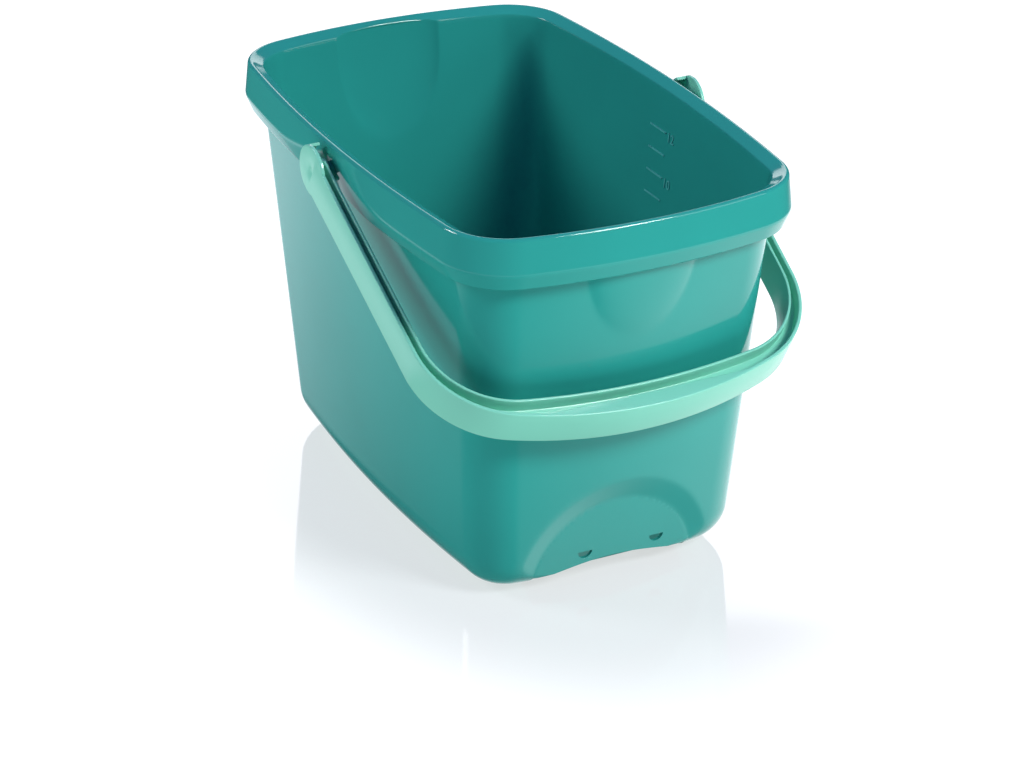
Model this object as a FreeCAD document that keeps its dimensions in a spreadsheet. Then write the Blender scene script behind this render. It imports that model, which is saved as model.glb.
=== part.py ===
"""Rectangular mop bucket with a swinging bail handle. Millimetres, +Z up.

The origin is the middle of the underside. The long axis of the bucket is Y. The bail lies
forward, towards -Y, and its trunnions are on the two long sides.
"""
import FreeCAD
import Part
import math
import os

V = FreeCAD.Vector
X_AXIS, Y_AXIS, Z_AXIS = V(1, 0, 0), V(0, 1, 0), V(0, 0, 1)

SIZES = {
    # Turned-down rim: the crest is the top line of the bucket.
    "bucket_height": 246.5, "crest_half_length": 179.0, "crest_half_width": 114.0,
    "crest_side_bow": 11.2, "crest_end_bow": 14.3, "crest_corner": 38.8,
    "flange_width": 6.8, "flange_drop": 3.5, "rim_round": 1.8,
    "skirt_top_out": 2.2, "crease_out": 4.0, "crease_drop": 21.4,
    "skirt_out": 0.4, "skirt_drop": 31.2, "skirt_wall": 2.0,
    # Skirt beside each trunnion: it slants in under a crease that climbs to the trunnion.
    "slant_per_height": 0.264, "slant_reach": 94.0, "slant_climb": 20.8,
    # Tapering shell.
    "wall": 2.1, "base_half_length": 145.8, "base_half_width": 91.9,
    "base_side_bow": 8.0, "base_end_bow": 7.5, "base_corner": 28.2, "base_round": 25.0,
    # Pour trough in each end wall.
    "trough_half_width": 36.5, "trough_height": 67.4, "trough_bulge": 7.2,
    "trough_set_in": 3.8, "trough_centre_height": 228.0,
    # Apron and finger recess at the foot of the front wall.
    "apron_radius": 54.0, "apron_depth": 6.7, "scoop_radius": 92.0, "scoop_drop": 20.6,
    "recess_depth": 26.0, "arch_rise": 14.3, "arch_end_rise": 8.0,
    "slot_radius": 4.7, "slot_spread": 23.9, "slot_middle": 5.4, "slot_height": 21.4,
    # Litre marks on the inside of one long wall.
    "mark_step": 14.7, "mark_top_height": 215.8, "mark_half_length": 9.8,
    "mark_middle": 1.8, "mark_thick": 1.1, "mark_proud": 0.6,
    # Trunnions.
    "pivot_height": 230.9, "pin_radius": 4.2, "pin_tip": 125.4,
    "pin_boss_radius": 8.0, "pin_boss_tip": 114.6, "pin_root": 107.4,
    # Bail handle, in the plane of the bail: the outer and the inner rib.
    "bail_rest_angle": 29.35, "arm_half_width": 128.1, "grip_half_width": 122.8,
    "arm_length": 181.8, "grip_bow": 29.9, "bail_corner": 59.7,
    "inner_inset": 7.0, "inner_length": 180.7, "inner_bow": 14.1, "inner_corner": 50.7,
    "band_up": 10.4, "band_down": 14.1, "outer_rib": 2.2, "inner_rib": 1.8,
    "web_thick": 2.0, "web_height": 1.4, "web_seat": 0.5, "channel_start": 2.0,
    "pad_chord": 201.7, "pad_half_width": 72.0, "pad_below_rib": 0.4,
    "ear_radius": 16.0, "ear_flange": 1.8, "ear_flange_length": 8.6,
    "hub_radius": 6.4, "hub_length": 7.6, "hub_clearance": 0.1,
    "dimple_radius": 9.0, "dimple_depth": 0.7,
}
MARK_COUNT = 4
# Heights closer than this are the same height.
TOUCH = 0.01
# Halvings that settle where a corner arc meets the grip arc.
HALVINGS = 60

doc = FreeCAD.newDocument("mop_bucket")
sheet = doc.addObject("Spreadsheet::Sheet", "sizes")
for row, (alias, value) in enumerate(SIZES.items(), start=1):
    sheet.set(f"A{row}", alias)
    sheet.set(f"B{row}", str(value))
    sheet.setAlias(f"B{row}", alias)
doc.recompute()


def size(alias):
    """The value of one driving dimension."""
    return float(sheet.get(alias))


def bind(thing, **expressions):
    """Bind properties of a document object to expressions over the sheet's cells."""
    for prop, text in expressions.items():
        thing.setExpression(prop, text)
    return thing


# ---------------------------------------------------------------- outlines

def bowed_outline(half_length, half_width, side_bow, end_bow, corner):
    """Arcs of a rounded rectangle with bowed sides, counter-clockwise, long axis along Y."""
    side_radius = ((half_length - end_bow) ** 2 + side_bow ** 2) / (2 * side_bow)
    end_radius = ((half_width - side_bow) ** 2 + end_bow ** 2) / (2 * end_bow)
    side_centre = V(half_width - side_radius, 0, 0)
    end_centre = V(0, half_length - end_radius, 0)
    # The corner arc is tangent inside both bowed sides.
    to_side, to_end = side_radius - corner, end_radius - corner
    between = end_centre - side_centre
    along = (to_side ** 2 - to_end ** 2 + between.Length ** 2) / (2 * between.Length)
    across = math.sqrt(to_side ** 2 - along ** 2)
    unit = V(between).normalize()
    side_step = V(unit.y, -unit.x, 0) * across
    corner_centre = side_centre + unit * along + side_step
    if corner_centre.x < 0 or corner_centre.y < 0:
        corner_centre = side_centre + unit * along - side_step
    side_end = side_centre + V(corner_centre - side_centre).normalize() * side_radius
    end_start = end_centre + V(corner_centre - end_centre).normalize() * end_radius
    middle = V(corner_centre - side_centre).normalize() + V(corner_centre - end_centre).normalize()
    corner_middle = corner_centre + middle.normalize() * corner
    side_middle, end_middle = V(half_width, 0, 0), V(0, half_length, 0)

    def turned(point, flip_x, flip_y):
        return V(point.x * flip_x, point.y * flip_y, 0)

    arcs = []
    for flip_x, flip_y in ((1, 1), (-1, 1), (-1, -1), (1, -1)):
        corner_arc = [turned(p, flip_x, flip_y) for p in (side_end, corner_middle, end_start)]
        arcs.append(corner_arc if flip_x == flip_y else corner_arc[::-1])
    arcs.insert(1, [end_start, end_middle, turned(end_start, -1, 1)])
    arcs.insert(3, [turned(side_end, -1, 1), turned(side_middle, -1, 1), turned(side_end, -1, -1)])
    arcs.insert(5, [turned(end_start, -1, -1), turned(end_middle, 1, -1), turned(end_start, 1, -1)])
    arcs.append([turned(side_end, 1, -1), side_middle, side_end])
    return [Part.Arc(*points) for points in arcs]


def outline_sketch(name, height, half_length, half_width, side_bow, end_bow, corner):
    """A bowed outline drawn at a height."""
    sketch = doc.addObject("Sketcher::SketchObject", name)
    for arc in bowed_outline(half_length, half_width, side_bow, end_bow, corner):
        sketch.addGeometry(arc, False)
    sketch.Placement.Base = V(0, 0, height)
    return sketch


def rim_sketch(name, height, outward):
    """The crest outline moved outward, at a height."""
    return outline_sketch(name, height, size("crest_half_length") + outward,
                          size("crest_half_width") + outward, size("crest_side_bow"),
                          size("crest_end_bow"), size("crest_corner") + outward)


def shell_sketch(name, height, inward):
    """The outline of the tapering shell at a height, moved inward."""
    top = size("bucket_height") - size("flange_drop")
    rise = height / top
    rim_step = size("wall") - size("flange_width")

    def blend(base, rim):
        return base + (rim - base) * rise

    return outline_sketch(
        name, height,
        blend(size("base_half_length"), size("crest_half_length") + rim_step) - inward,
        blend(size("base_half_width"), size("crest_half_width") + rim_step) - inward,
        blend(size("base_side_bow"), size("crest_side_bow")),
        blend(size("base_end_bow"), size("crest_end_bow")),
        blend(size("base_corner"), size("crest_corner") + rim_step) - inward)


# ---------------------------------------------------------------- document helpers

def loft(name, sections):
    """A solid ruled loft through sketches."""
    solid = doc.addObject("Part::Loft", name)
    solid.Sections = sections
    solid.Solid = True
    solid.Ruled = True
    return solid


def fuse(name, shapes):
    joined = doc.addObject("Part::MultiFuse", name)
    joined.Shapes = shapes
    return joined


def cut(name, base, tool):
    result = doc.addObject("Part::Cut", name)
    result.Base = base
    result.Tool = tool
    return result


def common(name, base, tool):
    result = doc.addObject("Part::Common", name)
    result.Base = base
    result.Tool = tool
    return result


def rounded(name, base, radius, picks):
    """Fillet the edges of a finished object that the test picks."""
    doc.recompute()
    edges = [(index, radius, radius)
             for index, edge in enumerate(base.Shape.Edges, start=1) if picks(edge)]
    fillet = doc.addObject("Part::Fillet", name)
    fillet.Base = base
    fillet.Edges = edges
    return fillet


def placed(thing, base, rotation=None):
    thing.Placement = FreeCAD.Placement(base, rotation or FreeCAD.Rotation())
    return thing


def lies_at(edge, height):
    box = edge.BoundBox
    return abs(box.ZMin - height) < TOUCH and abs(box.ZMax - height) < TOUCH


# ---------------------------------------------------------------- bucket

TOP = size("bucket_height")
SHELL_TOP = TOP - size("flange_drop")
WALL = size("wall")
END_LEAN = math.atan2(size("crest_half_length") - size("flange_width") + WALL
                      - size("base_half_length"), SHELL_TOP)


def end_wall_reach(height):
    """Distance of the outer face of an end wall from the middle, at a height."""
    return size("base_half_length") + height * math.tan(END_LEAN)


def slant_tool(name, side, inward):
    """Prism outside the slanting face of the skirt beside a trunnion."""
    reach, slope = size("slant_reach"), size("slant_per_height")
    bottom = TOP - size("skirt_drop")
    low_crease = size("skirt_drop") - size("crease_drop")

    def face(y):
        bow = size("crest_side_bow") * (y / size("crest_half_length")) ** 2
        climb = size("slant_climb") * (1 - abs(y) / reach) ** 2
        return (size("crest_half_width") + size("crease_out") - bow
                - slope * (low_crease + climb) - inward)

    far = size("crest_half_width") * 1.5
    half = reach / 2
    points = {y: V(side * face(y), y, 0) for y in (-reach, -half, 0, half, reach)}
    sketch = doc.addObject("Sketcher::SketchObject", name + "_plan")
    sketch.addGeometry(Part.Arc(points[-reach], points[-half], points[0]), False)
    sketch.addGeometry(Part.Arc(points[0], points[half], points[reach]), False)
    corners = [points[reach], V(side * far, reach, 0), V(side * far, -reach, 0), points[-reach]]
    for start, end in zip(corners, corners[1:]):
        sketch.addGeometry(Part.LineSegment(start, end), False)
    overrun = 2.0
    sketch.Placement.Base = V(-side * slope * overrun, 0, bottom - overrun)
    prism = doc.addObject("Part::Extrusion", name)
    prism.Base = sketch
    prism.DirMode = "Custom"
    prism.Dir = V(side * slope, 0, 1)
    prism.Solid = True
    prism.LengthFwd = (size("skirt_drop") + 2 * overrun) * math.hypot(1, slope)
    return prism


def rim():
    """Turned-down rim: a thin skirt under a narrow flange."""
    skirt_foot = TOP - size("skirt_drop")
    crease = TOP - size("crease_drop")
    skin = size("skirt_wall")
    block = loft("rim_block", [
        rim_sketch("rim_foot_outline", skirt_foot, size("skirt_out")),
        rim_sketch("rim_crease_outline", crease, size("crease_out")),
        rim_sketch("rim_top_outline", TOP, size("skirt_top_out"))])
    block = rounded("rim_rounded", block, size("rim_round"), lambda edge: lies_at(edge, TOP))
    overrun = 1.0
    channel = loft("channel_block", [
        rim_sketch("channel_foot", skirt_foot - overrun, size("skirt_out") - skin),
        rim_sketch("channel_crease", crease, size("crease_out") - skin),
        rim_sketch("channel_top", SHELL_TOP - size("skirt_wall"), size("skirt_top_out") - skin)])
    for side, label in ((-1, "left"), (1, "right")):
        block = cut(f"rim_slanted_{label}", block, slant_tool(f"slant_{label}", side, 0))
        channel = cut(f"channel_slanted_{label}", channel,
                      slant_tool(f"slant_inner_{label}", side, skin))
    return cut("rim_hollow", block, channel)


def trough_tool(name, end, grow):
    """Bulge of a pour trough: half an ellipsoid that runs up into the rim."""
    height = size("trough_centre_height")
    lean = FreeCAD.Rotation(X_AXIS, -end * math.degrees(END_LEAN))
    centre = V(0, end * (end_wall_reach(height) - WALL - size("trough_set_in")), height)
    bowl = bind(doc.addObject("Part::Ellipsoid", name + "_bowl"),
                Radius1=f"sizes.trough_height + {grow}",
                Radius2=f"sizes.trough_half_width + {grow}",
                Radius3=f"sizes.trough_bulge + {grow}")
    placed(bowl, centre, lean)
    ellipse = bind(doc.addObject("Part::Ellipse", name + "_section"),
                   MajorRadius=f"sizes.trough_half_width + {grow}",
                   MinorRadius=f"sizes.trough_bulge + {grow}")
    placed(ellipse, centre, lean)
    run = doc.addObject("Part::Extrusion", name + "_run")
    run.Base = ellipse
    run.DirMode = "Custom"
    run.Dir = lean.multVec(Z_AXIS)
    run.Solid = True
    run.LengthFwd = TOP - height
    return fuse(name, [bowl, run])


def apron_frame(depth):
    """Placement on the front wall at floor level, Z pointing into the bucket, at a depth."""
    inward = V(0, math.cos(END_LEAN), math.sin(END_LEAN))
    start = V(0, -end_wall_reach(0), 0)
    turn = FreeCAD.Rotation(X_AXIS, math.degrees(END_LEAN) - 90)
    return FreeCAD.Placement(start + inward * depth, turn)


def ring(name, radius, depth, drop):
    """Circle parallel to the front wall, its centre dropped below floor level."""
    circle = doc.addObject("Part::Circle", name)
    circle.Radius = radius
    frame = apron_frame(depth)
    down = V(0, math.sin(END_LEAN), -math.cos(END_LEAN))
    frame.Base = frame.Base + down * drop
    circle.Placement = frame
    return circle


def scoop_tool(name, grow, deeper):
    """Oblique cone pressed into the foot of the front wall."""
    slope = (size("scoop_radius") - size("apron_radius")) / size("apron_depth")
    lift = size("scoop_drop") / size("apron_depth")
    # The cone starts this far in front of the wall, so that it cuts clean through it.
    before = 4.0
    wide = size("scoop_radius") + slope * before + grow
    narrow = size("apron_radius") + grow
    mouth = ring(name + "_mouth", wide, deeper - before, size("scoop_drop") + lift * before)
    throat = ring(name + "_throat", narrow, size("apron_depth") + deeper, 0)
    return loft(name, [mouth, throat])


def drum(name, radius, start, length):
    """Cylinder normal to the front wall, centred at floor level."""
    cylinder = bind(doc.addObject("Part::Cylinder", name), Radius=radius, Height=length)
    cylinder.Placement = apron_frame(start)
    return cylinder


def above_floor(name):
    box = doc.addObject("Part::Box", name)
    box.Length = box.Width = 4 * size("base_half_length")
    box.Height = TOP
    return placed(box, V(-box.Length.Value / 2, -box.Width.Value / 2, 0))


def arch_tool():
    """Slice of a wide cylinder that leaves the apron's arched lower edge."""
    sag = size("arch_rise") - size("arch_end_rise")
    radius = (size("apron_radius") ** 2 + sag ** 2) / (2 * sag)
    cylinder = doc.addObject("Part::Cylinder", "arch")
    cylinder.Radius = radius
    cylinder.Height = size("apron_depth") + size("recess_depth")
    front = -end_wall_reach(0)
    placed(cylinder, V(0, front, size("arch_rise") - radius), FreeCAD.Rotation(X_AXIS, -90))
    skin = drum("arch_limit", "sizes.apron_radius", 0, "sizes.apron_depth + sizes.wall")
    return common("arch_slice", cylinder, skin)


def slot_tool(name, side):
    """Half-moon drain slot, flat side up."""
    cylinder = bind(doc.addObject("Part::Cylinder", name), Radius="sizes.slot_radius",
                    Height="sizes.recess_depth")
    cylinder.Angle = 180
    start = V(size("slot_middle") + side * size("slot_spread"),
              -end_wall_reach(size("slot_height")), size("slot_height"))
    return placed(cylinder, start, FreeCAD.Rotation(X_AXIS, -90))


def litre_mark(name, index):
    """Short raised line on the inside of the long wall at +X."""
    height = size("mark_top_height") - index * size("mark_step")
    lean = (size("crest_half_width") - size("flange_width") + WALL
            - size("base_half_width")) / SHELL_TOP
    face = size("base_half_width") + lean * height - WALL
    bar = bind(doc.addObject("Part::Box", name), Width="2 * sizes.mark_half_length",
               Height="sizes.mark_thick", Length="sizes.mark_proud + sizes.wall / 2")
    return placed(bar, V(face - size("mark_proud"), size("mark_middle") - size("mark_half_length"),
                        height))


def trunnion(side, label):
    """Pin on a root boss that passes through the skirt into the long wall."""
    turn = FreeCAD.Rotation(Y_AXIS, side * 90)
    pieces = []
    for part, radius, tip in (("pin", "pin_radius", "pin_tip"),
                              ("boss", "pin_boss_radius", "pin_boss_tip")):
        cylinder = bind(doc.addObject("Part::Cylinder", f"{part}_{label}"),
                        Radius=f"sizes.{radius}", Height=f"sizes.{tip} - sizes.pin_root")
        pieces.append(placed(cylinder, V(side * size("pin_root"), 0, size("pivot_height")), turn))
    return pieces


def bucket():
    shell = rounded("shell_rounded", loft("shell_block", [
        shell_sketch("shell_foot", 0, 0), shell_sketch("shell_rim", SHELL_TOP, 0)]),
        size("base_round"), lambda edge: lies_at(edge, 0))
    cavity = rounded("cavity_rounded", loft("cavity_block", [
        shell_sketch("cavity_foot", WALL, WALL), shell_sketch("cavity_rim", SHELL_TOP, WALL)]),
        size("base_round") - WALL, lambda edge: lies_at(edge, WALL))
    overrun = 1.0
    run = size("flange_width") / size("flange_drop")
    mouth = loft("mouth", [
        rim_sketch("mouth_low", SHELL_TOP, -size("flange_width")),
        rim_sketch("mouth_high", TOP + overrun, run * overrun)])

    # What the cavity must leave standing around the apron.
    keep = fuse("apron_backing", [
        scoop_tool("scoop_backing", WALL, WALL),
        drum("recess_backing", "sizes.apron_radius", size("apron_depth"),
             "sizes.recess_depth - sizes.apron_depth + sizes.wall")])
    cavity = cut("cavity_shaped", cavity, keep)
    troughs = [trough_tool(f"trough_skin_{label}", end, "sizes.wall")
               for end, label in ((-1, "front"), (1, "back"))]
    hollows = [trough_tool(f"trough_{label}", end, "0")
               for end, label in ((-1, "front"), (1, "back"))]
    troughs = common("trough_skins", fuse("trough_skin_pair", troughs), above_floor("trough_box"))

    scooped = cut("shell_scooped", shell, scoop_tool("scoop", 0, 0))
    apron = common("apron_plug", drum("apron_drum", "sizes.apron_radius", size("apron_depth"),
                                      "sizes.recess_depth - sizes.apron_depth + sizes.wall"),
                   shell)
    pins = trunnion(-1, "left") + trunnion(1, "right")
    solid = fuse("bucket_block", [scooped, apron, rim(), troughs] + pins)
    recess = drum("recess", "sizes.apron_radius - sizes.wall", size("apron_depth") + WALL,
                  "sizes.recess_depth - sizes.apron_depth - sizes.wall")
    slots = [slot_tool("slot_left", -1), slot_tool("slot_right", 1)]
    tools = fuse("bucket_hollows", [cavity, mouth, recess, arch_tool()] + hollows + slots)
    marks = [litre_mark(f"mark_{index + 1}", index) for index in range(MARK_COUNT)]
    hollow = cut("bucket_hollowed", solid, tools)
    whole = fuse("bucket", [hollow] + marks)
    whole.Label = "bucket"
    return whole


# ---------------------------------------------------------------- bail handle

def bail_points(half_root, half_tip, length, bow, corner, start):
    """Key points of one half of a bail curve, from the arm's start to the middle of the grip.

    The bail lies in the XY plane, along -Y. The grip is an arc, tangent to the corner arc.
    """
    grip_radius = (half_tip ** 2 + bow ** 2) / (2 * bow)
    grip_centre = V(0, -(length + bow - grip_radius), 0)
    root = V(half_root, 0, 0)
    run = V(V(half_tip, -length, 0) - root).normalize()
    inward = V(run.y, -run.x, 0)
    low, high = 0.0, length
    for _ in range(HALVINGS):
        middle = (low + high) / 2
        centre = root + run * middle + inward * corner
        if (centre - grip_centre).Length < grip_radius - corner:
            low = middle
        else:
            high = middle
    outward = V(centre - grip_centre).normalize()
    bend = V(outward - inward).normalize()
    return {"start": root + run * start, "arm_end": centre - inward * corner,
            "corner": centre + bend * corner, "grip_end": centre + outward * corner,
            "grip_middle": V(0, -(length + bow), 0)}


def mirrored(point):
    return V(-point.x, point.y, point.z)


def bail_curve(points):
    """Lines and arcs of the whole bail curve, from +X to -X."""
    right = [Part.LineSegment(points["start"], points["arm_end"]),
             Part.Arc(points["arm_end"], points["corner"], points["grip_end"])]
    left = [Part.Arc(mirrored(points["grip_end"]), mirrored(points["corner"]),
                     mirrored(points["arm_end"])),
            Part.LineSegment(mirrored(points["arm_end"]), mirrored(points["start"]))]
    grip = Part.Arc(points["grip_end"], points["grip_middle"], mirrored(points["grip_end"]))
    return right + [grip] + left


def outer_points(inset, start):
    return bail_points(size("arm_half_width") - inset, size("grip_half_width") - inset,
                       size("arm_length"), size("grip_bow") - inset,
                       size("bail_corner") - inset, start)


def inner_points(outset, start):
    step = outset - size("inner_inset")
    return bail_points(size("arm_half_width") + step, size("grip_half_width") + step,
                       size("inner_length"), size("inner_bow") + outset,
                       size("inner_corner") + outset, start)


def origin_plane(body, role):
    return next(plane for plane in body.Origin.OriginFeatures if plane.Role == role)


def body_sketch(body, name, role, offset=0.0):
    """Sketch on one of the body's own origin planes, moved along its normal."""
    sketch = body.newObject("Sketcher::SketchObject", name)
    sketch.AttachmentSupport = [(origin_plane(body, role), "")]
    sketch.MapMode = "FlatFace"
    sketch.AttachmentOffset = FreeCAD.Placement(V(0, 0, offset), FreeCAD.Rotation())
    return sketch


def pad(body, name, sketch, length, reverse=False):
    feature = body.newObject("PartDesign::Pad", name)
    feature.Profile = sketch
    bind(feature, Length=length)
    feature.Reversed = reverse
    return feature


def band(body, name, outer, inner, offset, length):
    """Pad the strip between two bail curves."""
    sketch = body_sketch(body, name + "_plan", "XY_Plane", offset)
    for piece in bail_curve(outer) + bail_curve(inner):
        sketch.addGeometry(piece, False)
    for flip in (lambda point: point, mirrored):
        sketch.addGeometry(Part.LineSegment(flip(outer["start"]), flip(inner["start"])), False)
    return pad(body, name, sketch, length)


def grip_pad(body):
    """Filled segment in front of a straight chord in the middle of the grip."""
    chord, outer = size("pad_chord"), outer_points(size("outer_rib") / 2, 0)
    radius_bow = -outer["grip_middle"].y - chord
    half = size("pad_half_width")
    sketch = body_sketch(body, "grip_pad_plan", "XY_Plane", size("web_height") / 2)
    ends = [V(half, -chord, 0), V(-half, -chord, 0)]
    sketch.addGeometry(Part.Arc(ends[0], V(0, -chord - radius_bow, 0), ends[1]), False)
    sketch.addGeometry(Part.LineSegment(ends[1], ends[0]), False)
    return pad(body, "grip_pad", sketch,
               "sizes.band_up - sizes.web_height / 2 - sizes.pad_below_rib")


def sector(sketch, inner, outer, start, end):
    """Closed ring sector about the sketch's origin, angles in degrees."""
    def at(radius, angle):
        turn = math.radians(angle)
        return V(radius * math.cos(turn), radius * math.sin(turn), 0)

    middle = (start + end) / 2
    sketch.addGeometry(Part.Arc(at(outer, start), at(outer, middle), at(outer, end)), False)
    sketch.addGeometry(Part.Arc(at(inner, end), at(inner, middle), at(inner, start)), False)
    sketch.addGeometry(Part.LineSegment(at(outer, end), at(inner, end)), False)
    sketch.addGeometry(Part.LineSegment(at(inner, start), at(outer, start)), False)


def ear(body, side, label):
    """Disc with a part flange round its back and a hub for the trunnion."""
    face = side * size("arm_half_width")
    inward = side > 0
    disc = body_sketch(body, f"ear_disc_{label}_plan", "YZ_Plane", face)
    disc.addGeometry(Part.Circle(V(0, 0, 0), Z_AXIS, size("ear_radius")), False)
    pad(body, f"ear_disc_{label}", disc, "sizes.outer_rib", inward)
    hub = body_sketch(body, f"ear_hub_{label}_plan", "YZ_Plane",
                      side * (size("arm_half_width") - size("outer_rib")))
    hub.addGeometry(Part.Circle(V(0, 0, 0), Z_AXIS, size("hub_radius")), False)
    pad(body, f"ear_hub_{label}", hub, "sizes.hub_length", inward)
    bore = bind(body.newObject("PartDesign::SubtractiveCylinder", f"ear_bore_{label}"),
                Radius="sizes.pin_radius + sizes.hub_clearance", Height="2 * sizes.hub_length")
    bore.AttachmentSupport = [(origin_plane(body, "YZ_Plane"), "")]
    bore.MapMode = "FlatFace"
    floor = size("arm_half_width") - size("outer_rib")
    start = floor - 2 * size("hub_length") if inward else -floor
    bore.AttachmentOffset = FreeCAD.Placement(V(0, 0, start), FreeCAD.Rotation())
    # Sketch angles are measured from +Y, the back, towards +Z, the top.
    flange_top, flange_foot = 40.0, -110.0
    flange = body_sketch(body, f"ear_flange_{label}_plan", "YZ_Plane", face)
    sector(flange, size("ear_radius") - size("ear_flange"), size("ear_radius"),
           flange_foot, flange_top)
    pad(body, f"ear_flange_{label}", flange, "sizes.ear_flange_length", inward)
    dimple = bind(body.newObject("PartDesign::SubtractiveSphere", f"ear_dimple_{label}"),
                  Radius="sizes.dimple_radius")
    dimple.AttachmentSupport = [(origin_plane(body, "YZ_Plane"), "")]
    dimple.MapMode = "FlatFace"
    reach = side * (size("arm_half_width") + size("dimple_radius") - size("dimple_depth"))
    dimple.AttachmentOffset = FreeCAD.Placement(V(0, 0, reach), FreeCAD.Rotation())


def bail_handle():
    body = doc.addObject("PartDesign::Body", "bail_handle")
    body.Label = "bail_handle"
    start = size("channel_start")
    width = "sizes.band_up + sizes.band_down"
    foot = -size("band_down")
    band(body, "outer_rib_band", outer_points(0, 0), outer_points(size("outer_rib"), 0),
         foot, width)
    seat = size("web_seat")
    band(body, "web", outer_points(seat, start), inner_points(seat, start),
         size("web_height") - size("web_thick"), "sizes.web_thick")
    band(body, "inner_rib_band", inner_points(size("inner_rib"), start), inner_points(0, start),
         foot, width)
    grip_pad(body)
    for side, label in ((-1, "left"), (1, "right")):
        ear(body, side, label)
    body.Placement = FreeCAD.Placement(V(0, 0, size("pivot_height")),
                                       FreeCAD.Rotation(X_AXIS, size("bail_rest_angle")))
    return body


# ---------------------------------------------------------------- build and write

nodes = [bucket(), bail_handle()]
doc.recompute()
for thing in doc.Objects:
    broken = {"Invalid", "Error"} & set(thing.State)
    if broken:
        raise RuntimeError(f"{thing.Name} failed: {thing.State}")
os.makedirs("parts", exist_ok=True)
for node in nodes:
    shape = node.Shape
    if shape.isNull() or not shape.isValid():
        raise RuntimeError(f"{node.Label} has no valid shape")
    if len(shape.Solids) != 1:
        raise RuntimeError(f"{node.Label} has {len(shape.Solids)} solids")
    shape.exportStep(f"parts/{node.Label}.step")
    box = shape.BoundBox
    print(node.Label, f"{shape.Volume / 1000:.1f} cm3",
          [round(value, 1) for value in (box.XMin, box.XMax, box.YMin, box.YMax, box.ZMin, box.ZMax)])
gap = nodes[0].Shape.distToShape(nodes[1].Shape)[0]
print(f"gap between the bucket and the bail handle {gap:.2f} mm")
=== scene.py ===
"""Looks of a rectangular mop bucket with a bail handle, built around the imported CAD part.

Metres, +Z up, the long axis along Y. The bail lies towards -Y.
"""

import math

import bmesh
import bpy
import numpy as np
from mathutils import Matrix, Vector


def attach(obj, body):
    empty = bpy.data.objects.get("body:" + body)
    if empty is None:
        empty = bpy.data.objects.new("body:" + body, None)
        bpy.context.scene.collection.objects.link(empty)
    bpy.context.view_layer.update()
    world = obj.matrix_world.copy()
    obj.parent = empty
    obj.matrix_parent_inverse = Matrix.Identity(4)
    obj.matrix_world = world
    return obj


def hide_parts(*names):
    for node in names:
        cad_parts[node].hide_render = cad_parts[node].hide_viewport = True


MM = 0.001

# Bucket, in millimetres.
TOP = 246.5
CREST = {"length": 179.0, "width": 114.0, "side_bow": 11.2, "end_bow": 14.3, "corner": 38.8}
BASE = {"length": 145.8, "width": 91.9, "side_bow": 8.0, "end_bow": 7.5, "corner": 28.2}
FLANGE_WIDTH, FLANGE_DROP = 6.8, 3.5
SHELL_TOP = TOP - FLANGE_DROP
WALL = 2.1
SKIRT_WALL = 2.0
# The crest's round is centred this far inside the crest line.
CREST_IN = 0.2
SKIRT_TOP_OUT, CREASE_OUT, SKIRT_OUT = 2.2, 4.0, 0.4
CREASE_DROP, SKIRT_DROP = 21.4, 31.2
BASE_ROUND = 25.0
SLANT_SLOPE, SLANT_REACH, SLANT_CLIMB = 0.264, 94.0, 20.8
TROUGH = {"half_width": 36.5, "height": 67.4, "bulge": 7.2, "set_in": 3.8, "centre": 228.0}
SCOOP_RADIUS, SCOOP_DROP, APRON_RADIUS, APRON_DEPTH = 92.0, 20.6, 54.0, 6.7
RECESS_DEPTH, ARCH_RISE, ARCH_END_RISE = 26.0, 14.3, 8.0
DRUM_STEPS = 160
SLOT_RADIUS, SLOT_SPREAD, SLOT_MIDDLE, SLOT_HEIGHT = 4.7, 23.9, 5.4, 21.4
MARK_STEP, MARK_TOP, MARK_HALF, MARK_MIDDLE = 14.7, 215.8, 9.8, 1.8
MARK_COUNT = 4
PIVOT = 230.9
PIN_RADIUS, PIN_ROOT, PIN_TIP, BOSS_RADIUS, BOSS_TIP = 4.2, 107.4, 125.4, 8.0, 114.6

# Bail handle, in millimetres, in the plane of the bail.
REST_ANGLE = 29.35
OUTER = {"root": 128.1, "tip": 122.8, "length": 181.8, "bow": 29.9, "corner": 59.7}
INNER = {"root": 121.1, "tip": 115.8, "length": 180.7, "bow": 14.1, "corner": 50.7}
BAND_UP, BAND_DOWN = 10.4, 14.1
OUTER_RIB, INNER_RIB = 2.2, 1.8
WEB_TOP, WEB_THICK = 1.4, 2.0
CHANNEL_START = 2.0
PAD_CHORD, PAD_DROP, PAD_FADE = 201.7, 0.4, 3.0
# Share of the outer rib's thickness where one more line of points holds its flat top.
RIB_CROWN = 0.62
EAR_RADIUS, EAR_FLANGE, EAR_FLANGE_LENGTH = 16.0, 1.8, 8.6
HUB_RADIUS, HUB_LENGTH, HUB_CLEARANCE = 6.4, 7.6, 0.1
# Dimple in the middle of the ear's outer face, as (radius, depth).
EAR_DIMPLE = [(0.2, 0.65), (1.5, 0.55), (2.8, 0.22), (3.6, 0.0)]
# Halvings that settle where a corner arc meets the grip arc.
HALVINGS = 60

# Local shaping fades in softly over BLEND and leaves a point alone below TRACE.
TROUGH_BLEND, PRESS_BLEND, TRACE = 0.35, 0.3, 0.03
# The trough reaches points within TROUGH_SIDE of the middle, above TROUGH_FLOOR and past
# TROUGH_FROM, the scoop points below its ceiling, and the slant points short of its end.
TROUGH_SIDE, TROUGH_FLOOR, TROUGH_FROM = 60, 130, 100
SCOOP_CEILING, SLANT_END = 120, 120
# Share of the climb where the slanting face rounds over at the trunnion.
CLIMB_ROUND = 0.93
# Rings across the floor of the bucket, as shares of the ring at its edge.
FLOOR_SHARES = (0.03, 0.25, 0.5, 0.75, 0.92)

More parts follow.
